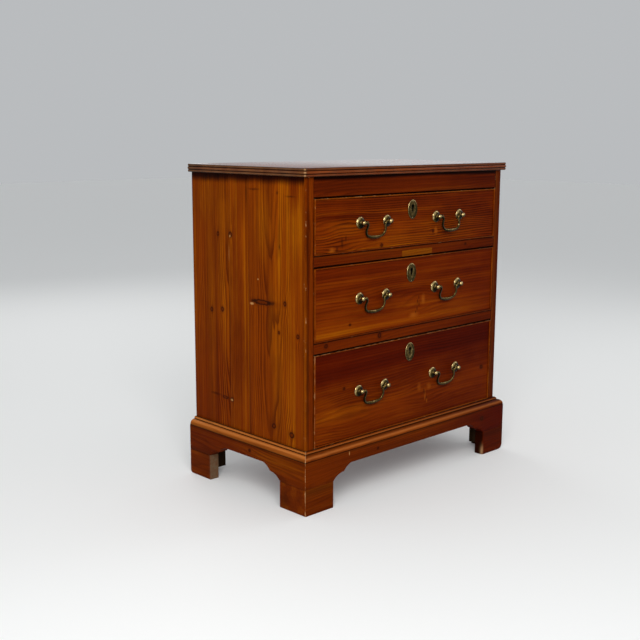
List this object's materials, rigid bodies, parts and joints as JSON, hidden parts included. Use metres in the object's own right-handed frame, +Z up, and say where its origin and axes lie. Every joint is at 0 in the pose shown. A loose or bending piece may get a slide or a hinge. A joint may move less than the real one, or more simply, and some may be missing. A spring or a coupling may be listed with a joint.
{
  "type": "chest of drawers",
  "caption": "Small waxed-pine chest of graduated long drawers with cock-beaded fronts, brass swan-neck bail handles, oval escutcheons, a reeded top and a moulded plinth on bracket feet.",
  "frame": {"origin": "on the floor, under the middle of the chest's box", "axes": "+Z up, -Y to the front, +X to the right seen from the front"},
  "size_m": [0.728, 0.4174, 0.762],
  "materials": {
    "waxed_pine": "waxed, worn at the edges",
    "bare_pine": "planed, aged, unfinished",
    "aged_brass": "cast, tarnished, rubbed bright on top",
    "lock_iron": "filed iron, dulled"
  },
  "bodies": {
    "carcase": {"top_board": "waxed_pine", "left_side": "waxed_pine", "right_side": "waxed_pine", "left_stile": "waxed_pine", "right_stile": "waxed_pine", "bottom_board": "waxed_pine", "lower_drawer_rail": "waxed_pine", "upper_drawer_rail": "waxed_pine", "top_rail": "waxed_pine", "drawer_runners": "bare_pine", "drawer_kickers": "bare_pine", "top_back_rail": "bare_pine", "back_boards": "bare_pine", "drawer_stops": "bare_pine", "plinth_front": "waxed_pine", "plinth_left": "waxed_pine", "plinth_right": "waxed_pine", "front_feet": "waxed_pine", "rear_feet": "waxed_pine", "foot_blocks": "bare_pine", "base_moulding_front": "waxed_pine", "base_moulding_left": "waxed_pine", "base_moulding_right": "waxed_pine"},
    "upper_drawer": {"upper_drawer_sides": "bare_pine", "upper_drawer_front": "waxed_pine", "upper_drawer_back": "bare_pine", "upper_drawer_bottom": "bare_pine", "upper_drawer_cock_beads": "waxed_pine", "upper_drawer_roses": "aged_brass", "upper_drawer_posts": "aged_brass", "upper_drawer_escutcheon": "aged_brass", "upper_drawer_lock_case": "lock_iron"},
    "upper_drawer_left_bail": {"upper_drawer_left_bail": "aged_brass"},
    "upper_drawer_right_bail": {"upper_drawer_right_bail": "aged_brass"},
    "upper_drawer_lock_bolt": {"upper_drawer_lock_bolt": "lock_iron"},
    "middle_drawer": {"middle_drawer_sides": "bare_pine", "middle_drawer_front": "waxed_pine", "middle_drawer_back": "bare_pine", "middle_drawer_bottom": "bare_pine", "middle_drawer_cock_beads": "waxed_pine", "middle_drawer_roses": "aged_brass", "middle_drawer_posts": "aged_brass", "middle_drawer_escutcheon": "aged_brass", "middle_drawer_lock_case": "lock_iron"},
    "middle_drawer_left_bail": {"middle_drawer_left_bail": "aged_brass"},
    "middle_drawer_right_bail": {"middle_drawer_right_bail": "aged_brass"},
    "middle_drawer_lock_bolt": {"middle_drawer_lock_bolt": "lock_iron"},
    "lower_drawer": {"lower_drawer_sides": "bare_pine", "lower_drawer_front": "waxed_pine", "lower_drawer_back": "bare_pine", "lower_drawer_bottom": "bare_pine", "lower_drawer_cock_beads": "waxed_pine", "lower_drawer_roses": "aged_brass", "lower_drawer_posts": "aged_brass", "lower_drawer_escutcheon": "aged_brass", "lower_drawer_lock_case": "lock_iron"},
    "lower_drawer_left_bail": {"lower_drawer_left_bail": "aged_brass"},
    "lower_drawer_right_bail": {"lower_drawer_right_bail": "aged_brass"},
    "lower_drawer_lock_bolt": {"lower_drawer_lock_bolt": "lock_iron"}
  },
  "joints": [
    {"name": "upper_drawer_slide", "type": "slide", "parent": "carcase", "child": "upper_drawer", "axis": [0, -1, 0], "range_m": [0, 0.3]},
    {"name": "upper_drawer_left_bail_swing", "type": "hinge", "parent": "upper_drawer", "child": "upper_drawer_left_bail", "pos_m": [-0.132, -0.19925, 0.63715], "axis": [-1, 0, 0], "range_deg": [0, 102]},
    {"name": "upper_drawer_right_bail_swing", "type": "hinge", "parent": "upper_drawer", "child": "upper_drawer_right_bail", "pos_m": [0.132, -0.19925, 0.63715], "axis": [-1, 0, 0], "range_deg": [-12, 90]},
    {"name": "upper_drawer_lock_throw", "type": "slide", "parent": "upper_drawer", "child": "upper_drawer_lock_bolt", "axis": [0, 0, 1], "range_m": [0, 0.011]},
    {"name": "middle_drawer_slide", "type": "slide", "parent": "carcase", "child": "middle_drawer", "axis": [0, -1, 0], "range_m": [0, 0.3]},
    {"name": "middle_drawer_left_bail_swing", "type": "hinge", "parent": "middle_drawer", "child": "middle_drawer_left_bail", "pos_m": [-0.132, -0.19925, 0.4661], "axis": [-1, 0, 0], "range_deg": [0, 102]},
    {"name": "middle_drawer_right_bail_swing", "type": "hinge", "parent": "middle_drawer", "child": "middle_drawer_right_bail", "pos_m": [0.132, -0.19925, 0.4661], "axis": [-1, 0, 0], "range_deg": [0, 102]},
    {"name": "middle_drawer_lock_throw", "type": "slide", "parent": "middle_drawer", "child": "middle_drawer_lock_bolt", "axis": [0, 0, 1], "range_m": [0, 0.011]},
    {"name": "lower_drawer_slide", "type": "slide", "parent": "carcase", "child": "lower_drawer", "axis": [0, -1, 0], "range_m": [0, 0.3]},
    {"name": "lower_drawer_left_bail_swing", "type": "hinge", "parent": "lower_drawer", "child": "lower_drawer_left_bail", "pos_m": [-0.132, -0.19925, 0.2508], "axis": [-1, 0, 0], "range_deg": [0, 102]},
    {"name": "lower_drawer_right_bail_swing", "type": "hinge", "parent": "lower_drawer", "child": "lower_drawer_right_bail", "pos_m": [0.132, -0.19925, 0.2508], "axis": [-1, 0, 0], "range_deg": [0, 102]},
    {"name": "lower_drawer_lock_throw", "type": "slide", "parent": "lower_drawer", "child": "lower_drawer_lock_bolt", "axis": [0, 0, 1], "range_m": [0, 0.011]}
  ]
}
